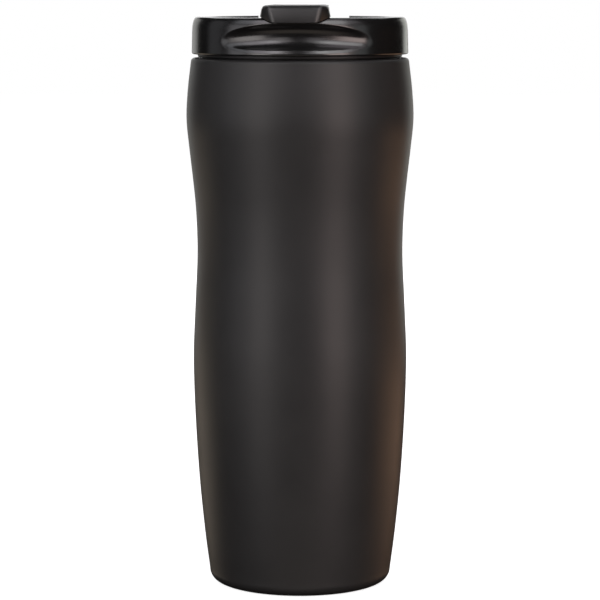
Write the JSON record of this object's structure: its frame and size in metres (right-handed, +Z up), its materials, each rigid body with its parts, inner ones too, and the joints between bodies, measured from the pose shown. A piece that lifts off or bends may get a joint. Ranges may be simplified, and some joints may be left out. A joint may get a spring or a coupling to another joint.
{
  "type": "insulated tumbler",
  "caption": "Waisted double-wall steel tumbler with a press-in lid, a thumb scoop and a flip lever that seals the drinking opening.",
  "frame": {"origin": "centre of the foot, on the surface the tumbler stands on", "axes": "+Z up, the lever's tip and the thumb scoop face -Y"},
  "size_m": [0.0778, 0.0778, 0.1994],
  "materials": {
    "powder_coat": "satin charcoal powder coat",
    "steel": "brushed stainless",
    "steel_base": "turned stainless",
    "solder": "dull solder",
    "getter": "sintered",
    "lid_gloss": "glossy moulded plastic",
    "lid_matte": "matte moulded plastic",
    "foam": "rigid foam",
    "silicone": "matte silicone",
    "pin_steel": "ground steel",
    "lever_black": "satin gloss moulded plastic",
    "holder_plastic": "matte moulded plastic",
    "seal_silicone": "matte silicone"
  },
  "bodies": {
    "tumbler": {"outer_shell": "powder_coat", "inner_liner": "steel", "outer_base": "steel", "evacuation_seal": "solder", "getter_puck": "getter", "base_cover": "steel_base"},
    "lid": {"lid_cap": "lid_gloss", "lid_core": "lid_matte", "lid_insulation": "foam", "lid_seal": "silicone", "hinge_pin": "pin_steel"},
    "lever": {"flip_lever": "lever_black", "seal_holder": "holder_plastic", "drink_seal": "seal_silicone", "vent_seal": "seal_silicone"}
  },
  "joints": [
    {"name": "lid_lift", "type": "slide", "parent": "tumbler", "child": "lid", "axis": [0, 0, 1], "range_m": [0, 0.1]},
    {"name": "lever_flip", "type": "hinge", "parent": "lid", "child": "lever", "pos_m": [0, 0, 0.195], "axis": [-1, 0, 0], "range_deg": [0, 180]}
  ]
}
